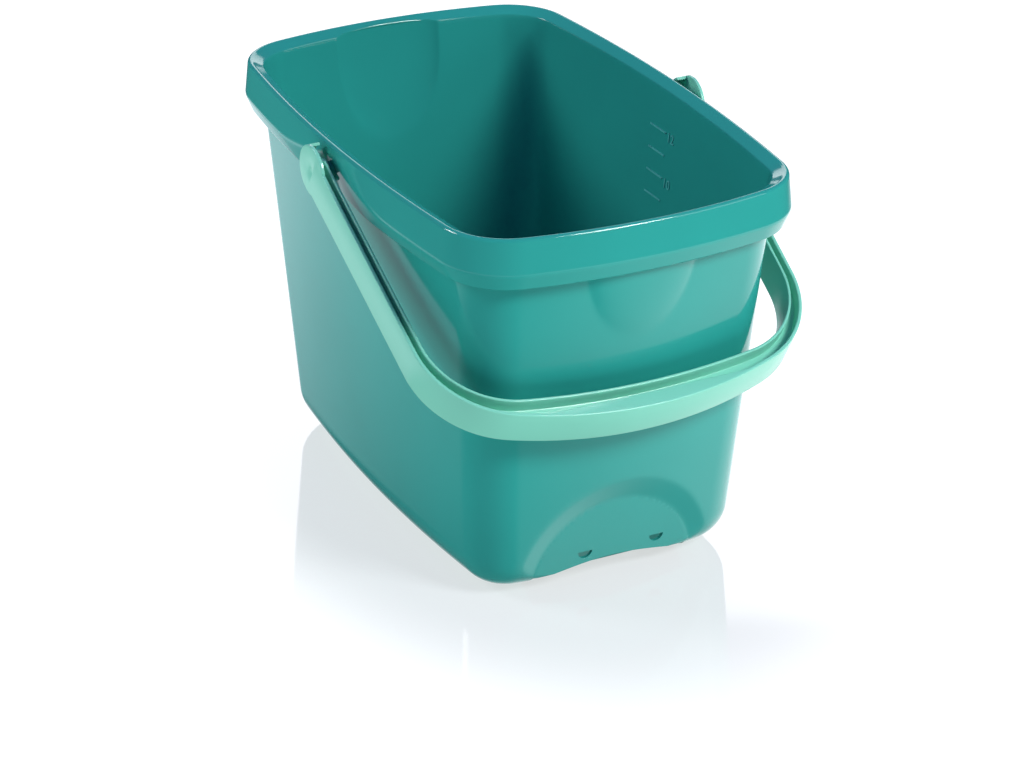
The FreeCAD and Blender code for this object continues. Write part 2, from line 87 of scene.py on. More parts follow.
END_LEAN = math.atan2(CREST["length"] - FLANGE_WIDTH + WALL - BASE["length"], SHELL_TOP)

# Stage: glow of the table close to the object, lowered there as a painted shadow, and far from it.
FLOOR_PAINTED_SHADE_GLOW, FLOOR_GLOW = 0.64, 1.04

# Surroundings by direction height: a dim room over a pale table. The steep walls mirror the
# table's far part as one pale band below the horizon.
ROOM = [(-1.0, (0.10, 0.14, 0.17)), (-0.82, (0.10, 0.14, 0.17)), (-0.66, (0.10, 0.13, 0.15)),
        (-0.55, (0.06, 0.09, 0.11)), (-0.47, (0.55, 0.66, 0.72)), (-0.41, (1.0, 1.12, 1.2)),
        (-0.37, (0.5, 0.6, 0.65)), (-0.33, (0.06, 0.09, 0.11)), (0.1, (0.08, 0.12, 0.16)),
        (1.0, (0.09, 0.09, 0.34))]
RIGHT_GLOW, GLOW_TOP = 18.0, -0.33


# ---------------------------------------------------------------- outlines

def arc_between(centre, radius, start, end, count):
    """Points of an arc from angle start up to but not including end."""
    angles = start + (end - start) * np.arange(count) / count
    return centre + radius * np.column_stack([np.cos(angles), np.sin(angles)])


SIDE_STEPS, CORNER_STEPS, END_STEPS = 96, 22, 96


def outline(shape, outward=0.0):
    """Rounded rectangle with bowed sides, as points counter-clockwise from +X.

    Every outline has the same number of points on each arc, so rings at different heights match.
    """
    length, width = shape["length"] + outward, shape["width"] + outward
    side_bow, end_bow, corner = shape["side_bow"], shape["end_bow"], shape["corner"] + outward
    side_radius = ((length - end_bow) ** 2 + side_bow ** 2) / (2 * side_bow)
    end_radius = ((width - side_bow) ** 2 + end_bow ** 2) / (2 * end_bow)
    side_centre = np.array([width - side_radius, 0.0])
    end_centre = np.array([0.0, length - end_radius])
    to_side, to_end = side_radius - corner, end_radius - corner
    gap = end_centre - side_centre
    distance = np.hypot(*gap)
    along = (to_side ** 2 - to_end ** 2 + distance ** 2) / (2 * distance)
    across = math.sqrt(max(to_side ** 2 - along ** 2, 0.0))
    unit = gap / distance
    corner_centre = side_centre + along * unit + across * np.array([unit[1], -unit[0]])
    if min(corner_centre) < 0:
        corner_centre = side_centre + along * unit - across * np.array([unit[1], -unit[0]])
    side_angle = math.atan2(*(corner_centre - side_centre)[::-1])
    end_angle = math.atan2(*(corner_centre - end_centre)[::-1])
    pieces = []
    for quarter in range(4):
        turned = quarter % 2 == 1
        sign = np.array([1 if quarter in (0, 3) else -1, 1 if quarter < 2 else -1])
        side = arc_between(side_centre, side_radius, 0, side_angle, SIDE_STEPS)
        bend = arc_between(corner_centre, corner, side_angle, end_angle, CORNER_STEPS)
        end = arc_between(end_centre, end_radius, end_angle, math.pi / 2, END_STEPS)
        points = np.vstack([side, bend, end, [[0.0, length]]])
        points = points * sign
        pieces.append(points[:0:-1] if turned else points[:-1])
    return np.vstack(pieces)


def blended(low, high, rise):
    return {key: low[key] + (high[key] - low[key]) * rise for key in low}


RIM_STEP = WALL - FLANGE_WIDTH
SHELL_RIM = {"length": CREST["length"] + RIM_STEP, "width": CREST["width"] + RIM_STEP,
             "side_bow": CREST["side_bow"], "end_bow": CREST["end_bow"],
             "corner": CREST["corner"] + RIM_STEP}


def ring_at(points, height):
    return np.column_stack([points, np.full(len(points), height)])


def shell_ring(height, inward):
    """Ring of the tapering shell at a height, moved inward."""
    return ring_at(outline(blended(BASE, SHELL_RIM, height / SHELL_TOP), -inward), height)


def rim_ring(height, outward):
    return ring_at(outline(CREST, outward), height)


# ---------------------------------------------------------------- local shaping

def soft_positive(value, blur):
    """Smooth version of max(value, 0)."""
    return 0.5 * (value + np.sqrt(value * value + blur * blur))


def trough_shift(points, inward, weight=1.0):
    """Bulge the end walls outward into the pour troughs."""
    x, y, z = points.T
    end = np.sign(y)
    reach = BASE["length"] + TROUGH["centre"] * math.tan(END_LEAN) - WALL - TROUGH["set_in"]
    ahead, up = np.abs(y) + inward - WALL - reach, z - TROUGH["centre"]
    out = ahead * math.cos(END_LEAN) - up * math.sin(END_LEAN)
    climb = np.minimum(ahead * math.sin(END_LEAN) + up * math.cos(END_LEAN), 0.0)
    room = 1 - (x / TROUGH["half_width"]) ** 2 - (climb / TROUGH["height"]) ** 2
    bulge = TROUGH["bulge"] * np.sign(room) * np.sqrt(np.abs(room))
    gain = soft_positive(bulge - out, TROUGH_BLEND)
    within = (np.abs(x) < TROUGH_SIDE) * (z > TROUGH_FLOOR) * (np.abs(y) > TROUGH_FROM)
    gain = gain * within
    gain = np.where(gain < TRACE, 0, gain) * weight
    moved = points.copy()
    moved[:, 1] += end * gain / math.cos(END_LEAN)
    return moved


def scoop_shift(points, inward):
    """Press the scoop around the apron into the foot of the front wall."""
    x, y, z = points.T
    lean_sin, lean_cos = math.sin(END_LEAN), math.cos(END_LEAN)
    depth = (y + BASE["length"]) * lean_cos + z * lean_sin
    climb = -(y + BASE["length"]) * lean_sin + z * lean_cos
    # Share of the way from the mouth circle (0) to the throat circle (1) of the oblique cone.
    shrink = SCOOP_RADIUS - APRON_RADIUS
    low = climb + SCOOP_DROP
    square = SCOOP_DROP ** 2 - shrink ** 2
    linear = -2 * low * SCOOP_DROP + 2 * SCOOP_RADIUS * shrink
    constant = x * x + low * low - SCOOP_RADIUS ** 2
    root = np.sqrt(np.maximum(linear ** 2 - 4 * square * constant, 0))
    share = (-linear + root) / (2 * square)
    target = APRON_DEPTH * np.clip(share, 0, 1) + inward
    gain = soft_positive(target - depth, PRESS_BLEND) * (share > 0) * (y < 0) * (z < SCOOP_CEILING)
    gain = np.where(gain < TRACE, 0, gain)
    moved = points.copy()
    moved[:, 1] += gain * lean_cos
    moved[:, 2] += gain * lean_sin
    return moved


def slant_limit(points, inward):
    """Hold the skirt inside its slanting face beside each trunnion."""
    x, y, z = points.T
    low_crease = SKIRT_DROP - CREASE_DROP
    bow = CREST["side_bow"] * (y / CREST["length"]) ** 2
    climb = SLANT_CLIMB * np.maximum(1 - np.abs(y) / SLANT_REACH, 0) ** 2
    # The two climbs meet in a short round at the trunnion.
    climb = np.minimum(climb, SLANT_CLIMB * CLIMB_ROUND)
    face = (CREST["width"] + CREASE_OUT - bow
            - SLANT_SLOPE * (low_crease + climb - (z - (TOP - SKIRT_DROP))) - inward)
    over = soft_positive(np.abs(x) - face, PRESS_BLEND) * (np.abs(y) < SLANT_END)
    over = np.where(over < TRACE, 0, over)
    moved = points.copy()
    moved[:, 0] -= np.sign(x) * over
    return moved


# ---------------------------------------------------------------- mesh helpers

def new_object(name, vertices, faces):
    mesh = bpy.data.meshes.new(name)
    mesh.from_pydata([tuple(v) for v in np.asarray(vertices) * MM], [], faces)
    mesh.validate()
    piece = bpy.data.objects.new(name, mesh)
    bpy.context.scene.collection.objects.link(piece)
    return piece


def tidy_normals(piece, angle=34):
    """Consistent outward normals, smooth shading and sharp edges above an angle."""
    work = bmesh.new()
    work.from_mesh(piece.data)
    bmesh.ops.recalc_face_normals(work, faces=work.faces)
    work.to_mesh(piece.data)
    work.free()
    for face in piece.data.polygons:
        face.use_smooth = True
    piece.data.set_sharp_from_angle(angle=math.radians(angle))
    return piece


def side_faces(levels, count):
    """Quads between matching rings of a closed tube."""
    faces = []
    for level in range(levels - 1):
        base = level * count
        for i in range(count):
            j = (i + 1) % count
            faces.append((base + i, base + j, base + count + j, base + count + i))
    return faces


def skin_rings(name, rings):
    """Closed tube skin over matching rings, with a fan over each end."""
    count = len(rings[0])
    vertices = np.vstack(rings)
    faces = side_faces(len(rings), count)
    middles = [rings[0].mean(0), rings[-1].mean(0)]
    vertices = np.vstack([vertices, middles])
    last = (len(rings) - 1) * count
    first_cap, last_cap = len(vertices) - 2, len(vertices) - 1
    for i in range(count):
        j = (i + 1) % count
        faces.append((j, i, first_cap))
        faces.append((last + i, last + j, last_cap))
    return new_object(name, vertices, faces)


def lathe(name, profile, place, steps=96):
    """Closed solid of revolution. The profile is (radius, height) from axis to axis."""
    angles = 2 * math.pi * np.arange(steps) / steps
    rings = [np.column_stack([radius * np.cos(angles), radius * np.sin(angles),
                              np.full(steps, height)]) for radius, height in profile]
    piece = skin_rings(name, rings)
    piece.data.transform(place)
    return piece


def block(name, low, high):
    corners = [(x, y, z) for x in (low[0], high[0]) for y in (low[1], high[1])
               for z in (low[2], high[2])]
    faces = [(0, 1, 3, 2), (4, 6, 7, 5), (0, 4, 5, 1), (2, 3, 7, 6), (0, 2, 6, 4), (1, 5, 7, 3)]
    return new_object(name, np.array(corners, float), faces)


def boolean(target, tool, operation):
    """Apply one boolean to the target and discard the tool."""
    modifier = target.modifiers.new("boolean", "BOOLEAN")
    modifier.operation = operation
    modifier.solver = "EXACT"
    modifier.object = tool
    graph = bpy.context.evaluated_depsgraph_get()
    result = bpy.data.meshes.new_from_object(target.evaluated_get(graph))
    target.modifiers.clear()
    target.data = result
    bpy.data.objects.remove(tool)
    return target


def front_frame(depth):
    """Matrix onto the front wall at floor level: local Z points into the bucket."""
    start = Vector((0, -BASE["length"], 0)) * MM
    inward = Vector((0, math.cos(END_LEAN), math.sin(END_LEAN)))
    turn = Matrix.Rotation(END_LEAN - math.pi / 2, 4, "X")
    return Matrix.Translation(start + inward * depth * MM) @ turn


# ---------------------------------------------------------------- bucket

def round_steps(count):
    return np.linspace(0, math.pi / 2, count)


def floor_rings(edge, shares):
    """Rings across the floor, shrunk from the ring at its edge."""
    return [edge * (share, share, 1) for share in shares]


def shell_inside():
    """Rings from the middle of the floor up the inside of the wall."""
    inner_round = BASE_ROUND - WALL
    rings = floor_rings(shell_ring(WALL, WALL + inner_round), FLOOR_SHARES)
    for turn in round_steps(14):
        height = WALL + inner_round * (1 - math.cos(turn))
        inset = inner_round * (1 - math.sin(turn))
        rings.append(shell_ring(height, WALL + inset))
    for height in np.linspace(BASE_ROUND, SHELL_TOP - 1.2, 88)[1:]:
        rings.append(shell_ring(height, WALL))
    return [trough_shift(scoop_shift(ring, WALL), WALL) for ring in rings]


def flange():
    """Rings over the top: rounded inner edge, sloping flange, rounded crest."""
    rings = []
    slope = math.atan2(FLANGE_DROP, FLANGE_WIDTH)
    edge_round, edge_drop, first_share = 1.1, 1.0, 0.15
    for share in np.linspace(first_share, 1, 5):
        turn = share * (math.pi / 2 - slope)
        height = SHELL_TOP - edge_drop + edge_round * math.sin(turn)
        outward = -FLANGE_WIDTH + edge_round * (1 - math.cos(turn))
        rings.append(trough_shift(rim_ring(height, outward), WALL))
    last_height, last_out = height, outward
    slope_height, slope_out, trough_fade = TOP - 0.25, -0.4, 1.2
    for share in np.linspace(0, 1, 7)[1:]:
        height = last_height + (slope_height - last_height) * share
        outward = last_out + (slope_out - last_out) * share
        shifted = trough_shift(rim_ring(height, outward), WALL, (1 - share) ** trough_fade)
        rings.append(shifted)
    crest_round, first_turn = SKIRT_TOP_OUT + CREST_IN, 0.25
    for turn in np.linspace(first_turn, math.pi / 2, 8):
        rings.append(rim_ring(TOP - crest_round * (1 - math.cos(turn)),
                              -CREST_IN + crest_round * math.sin(turn)))
    return rings


def skirt():
    """Rings down the outside of the skirt, round its foot and up its inside."""
    crease, foot = TOP - CREASE_DROP, TOP - SKIRT_DROP
    start = TOP - SKIRT_TOP_OUT - CREST_IN
    crease_gap, crease_blunt, foot_round, foot_turn = 1.0, 0.12, 0.6, 0.35
    outside = []
    for height in np.linspace(start, crease + crease_gap, 20)[1:]:
        share = (start - height) / (start - crease)
        outside.append((height, SKIRT_TOP_OUT + (CREASE_OUT - SKIRT_TOP_OUT) * share))
    outside.append((crease, CREASE_OUT - crease_blunt))
    for height in np.linspace(crease - crease_gap, foot + foot_round, 11):
        share = (crease - height) / (crease - foot)
        outside.append((height, CREASE_OUT + (SKIRT_OUT - CREASE_OUT) * share))
    half_wall = SKIRT_WALL / 2
    rings = [slant_limit(rim_ring(height, outward), 0) for height, outward in outside]
    for turn in np.linspace(foot_turn, math.pi - foot_turn, 7):
        ring = rim_ring(foot + foot_round - foot_round * math.sin(turn),
                        SKIRT_OUT - half_wall + half_wall * math.cos(turn))
        rings.append(slant_limit(ring, half_wall * (1 - math.cos(turn))))
    roof = SHELL_TOP - SKIRT_WALL
    inside = [(height, outward - SKIRT_WALL) for height, outward in reversed(outside)
              if height < roof - 1]
    rings += [slant_limit(rim_ring(height, outward), SKIRT_WALL) for height, outward in inside]
    rings.append(slant_limit(rim_ring(roof, SKIRT_TOP_OUT - SKIRT_WALL - 0.6), SKIRT_WALL))
    return rings


def shell_outside():
    """Rings down the outside of the wall, round the foot and across the underside."""
    rings = []
    for height in np.linspace(SHELL_TOP - SKIRT_WALL, BASE_ROUND, 90):
        rings.append(shell_ring(height, 0))
    for turn in round_steps(16)[1:]:
        height = BASE_ROUND * (1 - math.sin(turn))
        rings.append(shell_ring(height, BASE_ROUND * (1 - math.cos(turn))))
    rings += floor_rings(rings[-1], reversed(FLOOR_SHARES))
    return [trough_shift(scoop_shift(ring, 0), 0) for ring in rings]


def arch_cutter():
    """Slice that leaves the arched lower edge of the apron."""
    sag = ARCH_RISE - ARCH_END_RISE
    radius = (APRON_RADIUS ** 2 + sag ** 2) / (2 * sag)
    past, ahead = 0.6, 6.0
    half = APRON_RADIUS + past
    steps = np.linspace(-1, 1, 49) * half
    bow = ARCH_RISE - radius + np.sqrt(radius ** 2 - steps ** 2)
    bell = ARCH_END_RISE + sag * (1 + np.cos(math.pi * steps / half)) / 2
    heights = (bow + bell) / 2
    low = -20.0
    section = np.vstack([np.column_stack([steps, heights]), [[half, low], [-half, low]]])
    rings = []
    for depth in (-ahead, APRON_DEPTH + WALL + past):
        # Both faces of the slice lean with the front wall.
        y = -BASE["length"] + depth - section[:, 1] * math.tan(END_LEAN)
        rings.append(np.column_stack([section[:, 0], y, section[:, 1]]))
    return tidy_normals(skin_rings("arch_cutter", rings))


def slot_cutter(side):
    angles = np.linspace(math.pi, 2 * math.pi, 25)
    section = np.column_stack([SLOT_RADIUS * np.cos(angles), SLOT_RADIUS * np.sin(angles)])
    rings = []
    ahead, behind = 6, 14
    for y in (-BASE["length"] - ahead, -BASE["length"] + behind):
        rings.append(np.column_stack([section[:, 0] + SLOT_MIDDLE + side * SLOT_SPREAD,
                                      np.full(len(section), y), section[:, 1] + SLOT_HEIGHT]))
    return tidy_normals(skin_rings("slot_cutter", rings))


def shell_core():
    """The lower part of the shell as a full block, a hair inside its outer face."""
    hair = 0.04
    rings = []
    for turn in round_steps(16)[::-1]:
        height = BASE_ROUND * (1 - math.sin(turn)) + hair
        rings.append(shell_ring(height, BASE_ROUND * (1 - math.cos(turn)) + hair))
    for height in np.linspace(BASE_ROUND, 0.5 * SHELL_TOP, 12)[1:]:
        rings.append(shell_ring(height, hair))
    return tidy_normals(skin_rings("shell_core", rings))


def apron_plug():
    """Drum behind the apron: its face shows, and its back stands into the bucket."""
    depth = RECESS_DEPTH - APRON_DEPTH + WALL
    rim_round = 1.0
    profile = [(0.5, 0), (APRON_RADIUS * 0.5, 0), (APRON_RADIUS - 3, 0)]
    for turn in round_steps(6):
        profile.append((APRON_RADIUS - rim_round * (1 - math.sin(turn)),
                        rim_round * (1 - math.cos(turn))))
    back_round = 3.0
    for turn in round_steps(8):
        profile.append((APRON_RADIUS - back_round * (1 - math.cos(turn)),
                        depth - back_round * (1 - math.sin(turn))))
    profile += [(APRON_RADIUS * 0.5, depth), (0.5, depth)]
    plug = tidy_normals(lathe("apron_plug", profile, front_frame(APRON_DEPTH), DRUM_STEPS))
    return boolean(plug, shell_core(), "INTERSECT")


def recess_cutter():
    start, radius, rounding = APRON_DEPTH + WALL, APRON_RADIUS - WALL, 2.5
    depth = RECESS_DEPTH - start
    profile = [(0.5, 0), (radius, 0), (radius, depth - rounding), (radius - 0.8, depth - 0.7),
               (radius - rounding, depth), (0.5, depth)]
    return tidy_normals(lathe("recess_cutter", profile, front_frame(start), DRUM_STEPS))


def bucket_shell():
    rings = shell_inside() + flange() + skirt() + shell_outside()
    shell = tidy_normals(skin_rings("bucket_shell", rings))
    boolean(shell, apron_plug(), "UNION")
    boolean(shell, recess_cutter(), "DIFFERENCE")
    boolean(shell, arch_cutter(), "DIFFERENCE")
    for side in (-1, 1):
        boolean(shell, slot_cutter(side), "DIFFERENCE")
    return tidy_normals(shell)


def wall_lean():
    return math.atan2(CREST["width"] - FLANGE_WIDTH + WALL - BASE["width"], SHELL_TOP)


def inner_side(height):
    """Distance of the inside of the long wall from the middle, at a height."""
    return BASE["width"] - WALL + height * math.tan(wall_lean())


def litre_mark(index):
    height = MARK_TOP - index * MARK_STEP
    sunk, proud, thick, bevel = 0.5, 0.6, 1.1, 0.25
    name = f"litre_mark_{index + 1}"
    bar = block(name, (-sunk, -MARK_HALF, 0), (proud, MARK_HALF, thick))
    work = bmesh.new()
    work.from_mesh(bar.data)
    edges = [e for e in work.edges if all(v.co.x > 0 for v in e.verts)]
    bmesh.ops.bevel(work, geom=edges, offset=bevel * MM, segments=2, affect="EDGES")
    work.to_mesh(bar.data)
    work.free()
    turn = Matrix.Rotation(math.pi, 4, "Z") @ Matrix.Rotation(wall_lean(), 4, "Y")
    place = Matrix.Translation(Vector((inner_side(height), MARK_MIDDLE, height)) * MM)
    bar.data.transform(place @ turn)
    return tidy_normals(bar)


def litre_number(text, index):
    """Raised scale number beside a litre mark."""
    below, size, proud, bevel, gap = 4.0, 8.5, 0.45, 0.08, 1.5
    height = MARK_TOP - index * MARK_STEP - below
    curve = bpy.data.curves.new(f"litre_number_{text}", "FONT")
    curve.body = text
    curve.size = size * MM
    curve.extrude = proud * MM
    curve.bevel_depth = bevel * MM
    source = bpy.data.objects.new(curve.name, curve)
    bpy.context.scene.collection.objects.link(source)
    graph = bpy.context.evaluated_depsgraph_get()
    mesh = bpy.data.meshes.new_from_object(source.evaluated_get(graph))
    bpy.data.objects.remove(source)
    piece = bpy.data.objects.new(f"litre_number_{text}", mesh)
    bpy.context.scene.collection.objects.link(piece)
    lean = wall_lean()
    across = Vector((0, -1, 0))
    up = Vector((math.sin(lean), 0, math.cos(lean)))
    out = across.cross(up)
    turn = Matrix((across, up, out)).transposed().to_4x4()
    corner = Vector((inner_side(height), MARK_MIDDLE - MARK_HALF - gap, height))
    mesh.transform(Matrix.Translation(corner * MM) @ turn)
    return tidy_normals(piece)


def trunnion(side, label):
    """Pin with a rounded tip on its root boss."""
    length, boss = PIN_TIP - PIN_ROOT, BOSS_TIP - PIN_ROOT
    edge, axis = 0.8, 0.3
    profile = [(axis, 0), (BOSS_RADIUS, 0), (BOSS_RADIUS, boss - edge), (BOSS_RADIUS - edge, boss),
               (PIN_RADIUS, boss), (PIN_RADIUS, length - edge), (PIN_RADIUS - edge, length),
               (axis, length)]
    place = (Matrix.Translation(Vector((side * PIN_ROOT, 0, PIVOT)) * MM)
             @ Matrix.Rotation(side * math.pi / 2, 4, "Y"))
    return tidy_normals(lathe(f"trunnion_{label}", profile, place, 64))


# ---------------------------------------------------------------- bail handle

def bail_half(shape, inset, shares):
    """Points and outward normals on the +X half of a bail curve, by share of its length."""
    root_x, tip = shape["root"] - inset, shape["tip"] - inset
    length, bow, corner = shape["length"], shape["bow"] - inset, shape["corner"] - inset
    grip_radius = (tip ** 2 + bow ** 2) / (2 * bow)
    grip_centre = np.array([0.0, length + bow - grip_radius])
    root = np.array([root_x, 0.0])
    run = np.array([tip - root_x, length])
    run /= np.hypot(*run)
    inward = np.array([-run[1], run[0]])
    low, high = 0.0, length
    for _ in range(HALVINGS):
        middle = (low + high) / 2
        centre = root + run * middle + inward * corner
        if np.hypot(*(centre - grip_centre)) < grip_radius - corner:
            low = middle
        else:
            high = middle
    outward = (centre - grip_centre) / np.hypot(*(centre - grip_centre))
    start_angle, end_angle = math.atan2(*(-inward)[::-1]), math.atan2(*outward[::-1])
    straight, turn, sweep = middle, end_angle - start_angle, math.pi / 2 - end_angle
    points, normals = [], []
    for share in shares:
        # Shares 0 to 1 run down the arm, 1 to 2 round the corner, 2 to 3 along the half grip.
        if share <= 1:
            points.append(root + run * straight * share)
            normals.append(-inward)
        elif share <= 2:
            angle = start_angle + turn * (share - 1)
            normals.append(np.array([math.cos(angle), math.sin(angle)]))
            points.append(centre + corner * normals[-1])
        else:
            angle = end_angle + sweep * (share - 2)
            normals.append(np.array([math.cos(angle), math.sin(angle)]))
            points.append(grip_centre + grip_radius * normals[-1])
    return np.array(points), np.array(normals), straight


def bail_curve(shape, shares):
    points, normals, _ = bail_half(shape, 0, shares)
    mirror = np.array([-1.0, 1.0])
    return (np.vstack([points, (points * mirror)[-2::-1]]),
            np.vstack([normals, (normals * mirror)[-2::-1]]))


def bail_frame(x, along, up):
    """From the plane of the bail (sideways, away from the pivot, normal) to the row frame."""
    angle = math.radians(REST_ANGLE)
    return np.column_stack([x, -math.cos(angle) * along - math.sin(angle) * up,
                            PIVOT - math.sin(angle) * along + math.cos(angle) * up])


def bail_matrix():
    return (Matrix.Translation(Vector((0, 0, PIVOT)) * MM)
            @ Matrix.Rotation(math.radians(REST_ANGLE), 4, "X"))


def channel_band():
    """The bail's channel: outer rib, web, inner rib and the filled grip pad."""
    start_share = CHANNEL_START / bail_half(OUTER, 0, [0])[2]
    shares = np.concatenate([np.linspace(start_share, 1, 26), np.linspace(1, 2, 26)[1:],
                             np.linspace(2, 3, 46)[1:]])
    outer, outer_normal = bail_curve(OUTER, shares)
    inner, inner_normal = bail_curve(INNER, shares)
    # Room from the outer curve to the straight chord of the grip pad.
    room = (outer[:, 1] - PAD_CHORD) / np.maximum(outer_normal[:, 1], 0.2)
    rib = np.maximum(OUTER_RIB, np.where(outer[:, 1] > PAD_CHORD, room, 0))
    groove, low_groove = WEB_TOP, WEB_TOP - WEB_THICK
    rounding, foot, ease, crown = 0.7, 0.8, 0.3, 0.02
    top, bottom = BAND_UP - rounding, rounding - BAND_DOWN

    def outer_at(offset, height):
        place = outer - outer_normal * np.asarray(offset).reshape(-1, 1)
        return bail_frame(place[:, 0], place[:, 1], np.full(len(place), height))

    def inner_at(offset, height):
        place = inner + inner_normal * np.asarray(offset).reshape(-1, 1)
        return bail_frame(place[:, 0], place[:, 1], np.full(len(place), height))

    def quarter_round(rib_at, middle, level, first, last):
        """Rounded edge of a rib about its middle. First and last are in right angles."""
        return [rib_at(middle - rounding * math.cos(turn), level + rounding * math.sin(turn))
                for turn in math.pi / 2 * np.linspace(first, last, 5)]

    normal = np.array([0, -math.sin(math.radians(REST_ANGLE)), math.cos(math.radians(REST_ANGLE))])
    pad_drop = PAD_DROP * np.clip((rib - OUTER_RIB) / PAD_FADE, 0, 1)
    loop = quarter_round(outer_at, rounding, top, 0, 1)
    loop.append(outer_at(OUTER_RIB * RIB_CROWN, BAND_UP - crown))
    for strip in quarter_round(outer_at, rib - rounding, top, 1, 2):
        loop.append(strip - normal * pad_drop.reshape(-1, 1))
    loop += [outer_at(rib, groove + foot), outer_at(rib + foot * ease, groove + foot * ease),
             outer_at(rib + foot, groove), inner_at(INNER_RIB + foot, groove),
             inner_at(INNER_RIB + foot * ease, groove + foot * ease),
             inner_at(INNER_RIB, groove + foot)]
    loop += quarter_round(inner_at, INNER_RIB - rounding, top, 2, 1)
    loop += quarter_round(inner_at, rounding, top, 1, 0)
    loop += quarter_round(inner_at, rounding, bottom, 0, -1)
    loop += quarter_round(inner_at, INNER_RIB - rounding, bottom, -1, -2)
    loop += [inner_at(INNER_RIB, low_groove - foot), inner_at(INNER_RIB + foot, low_groove),
             outer_at(OUTER_RIB + foot, low_groove), outer_at(OUTER_RIB, low_groove - foot)]
    loop += quarter_round(outer_at, OUTER_RIB - rounding, bottom, 2, 3)
    loop += quarter_round(outer_at, rounding, bottom, -1, 0)
    stations = [np.array(points) for points in np.array(loop).transpose(1, 0, 2)]
    return skin_bar("bail_band", stations)


def skin_bar(name, stations):
    """Skin along a bar from matching cross-sections, closed by a flat face at each end."""
    count = len(stations[0])
    vertices = np.vstack(stations)
    faces = side_faces(len(stations), count)
    last = (len(stations) - 1) * count
    faces.append(tuple(range(count - 1, -1, -1)))
    faces.append(tuple(range(last, last + count)))
    return tidy_normals(new_object(name, vertices, faces))


def ear(side, label):
    """Disc with a dimple, hub and part flange, turned so that its axis is X."""
    thick, rounding = OUTER_RIB, 0.8
    profile = EAR_DIMPLE + [(EAR_RADIUS / 2, 0.0)]
    for turn in round_steps(6):
        profile.append((EAR_RADIUS - rounding * (1 - math.sin(turn)),
                        rounding * (1 - math.cos(turn))))
    profile += [(EAR_RADIUS, thick - 0.3), (EAR_RADIUS - 0.3, thick), (HUB_RADIUS + 0.6, thick),
                (HUB_RADIUS, thick + 0.6), (HUB_RADIUS, thick + HUB_LENGTH - 0.5),
                (HUB_RADIUS - 0.5, thick + HUB_LENGTH), (0.2, thick + HUB_LENGTH)]
    # The disc lies in the plane of the arm's outer face, a hair behind it.
    behind = 0.03
    lean = math.atan2(OUTER["root"] - OUTER["tip"], OUTER["length"])
    inward = (Matrix.Rotation(-side * lean, 4, "Z")
              @ Matrix.Rotation(-side * math.pi / 2, 4, "Y"))
    root = Vector((side * (OUTER["root"] - behind), 0, 0)) * MM
    place = bail_matrix() @ Matrix.Translation(root) @ inward
    disc = tidy_normals(lathe(f"ear_{label}", profile, place, 96))
    # Part flange round the back, from above the notch down to the channel's lower edge.
    first_angle, last_angle, root_reach, edge = 40, -112, 0.9, 0.5
    inner, outer, flange_reach = EAR_RADIUS - EAR_FLANGE, EAR_RADIUS - 0.01, EAR_FLANGE_LENGTH
    section = [(outer, root_reach), (outer, flange_reach - edge), (outer - edge, flange_reach),
               (inner + edge, flange_reach), (inner, flange_reach - edge), (inner, root_reach)]
    stations = []
    for angle in np.radians(np.linspace(first_angle, last_angle, 60)):
        stations.append(np.array([(side * (OUTER["root"] - reach), radius * math.cos(angle),
                                   radius * math.sin(angle)) for radius, reach in section]))
    flange_piece = skin_bar("ear_flange", stations)
    flange_piece.data.transform(bail_matrix())
    return boolean(disc, flange_piece, "UNION")


def channel_end(side):
    """Wall that closes the channel's groove at the hub."""
    straight = bail_half(OUTER, 0, [0])[2]
    corners = []
    thick, sunk, run_out = 2.2, 0.8, 2.6
    for place in (CHANNEL_START, CHANNEL_START + thick):
        share = [place / straight]
        out, out_normal, _ = bail_half(OUTER, 0, share)
        inn, inn_normal, _ = bail_half(INNER, 0, share)
        corners.append((out[0] - out_normal[0] * sunk, inn[0] + inn_normal[0] * sunk))
    ring = np.array([corners[0][0], corners[0][1], corners[1][1], corners[1][0]])
    # The face towards the groove runs out into its floor.
    spread = np.array([[0, 0], [0, 0], [0, run_out], [0, run_out]])
    stations = []
    for height, share in ((WEB_TOP - 0.6, 1.0), (WEB_TOP + 1.6, 0.45), (WEB_TOP + 4.5, 0.12),
                          (BAND_UP - 0.9, 0.0)):
        place = ring + spread * share
        stations.append(bail_frame(side * place[:, 0], place[:, 1], np.full(4, height)))
    return skin_bar("channel_end", stations)


def bore_cutter(side):
    """Blind bore in the hub for the trunnion pin."""
    radius, start = PIN_RADIUS + HUB_CLEARANCE, OUTER["root"] - OUTER_RIB
    axis, past = 0.3, 4
    profile = [(axis, 0), (radius, 0), (radius, HUB_LENGTH + past), (axis, HUB_LENGTH + past)]
    inward = Matrix.Rotation(-side * math.pi / 2, 4, "Y")
    place = bail_matrix() @ Matrix.Translation(Vector((side * start, 0, 0)) * MM) @ inward
    return tidy_normals(lathe("bore_cutter", profile, place, 48))


def bail():
    band = channel_band()
    for side, label in ((-1, "left"), (1, "right")):
        boolean(band, channel_end(side), "UNION")
        boolean(band, ear(side, label), "UNION")
    for side in (-1, 1):
        boolean(band, bore_cutter(side), "DIFFERENCE")
    band.name = "bail_moulding"
    return tidy_normals(band)


# ---------------------------------------------------------------- materials

DRIFT_SCALE, ROUGH_SCALE, RIPPLE_SCALE, GRAIN_SCALE = 9.0, 60.0, 14.0, 1400.0
RIPPLE_HEIGHT, GRAIN_HEIGHT = 0.001, 0.0002
DRIFT, ROUGH_DRIFT = 0.05, 0.15


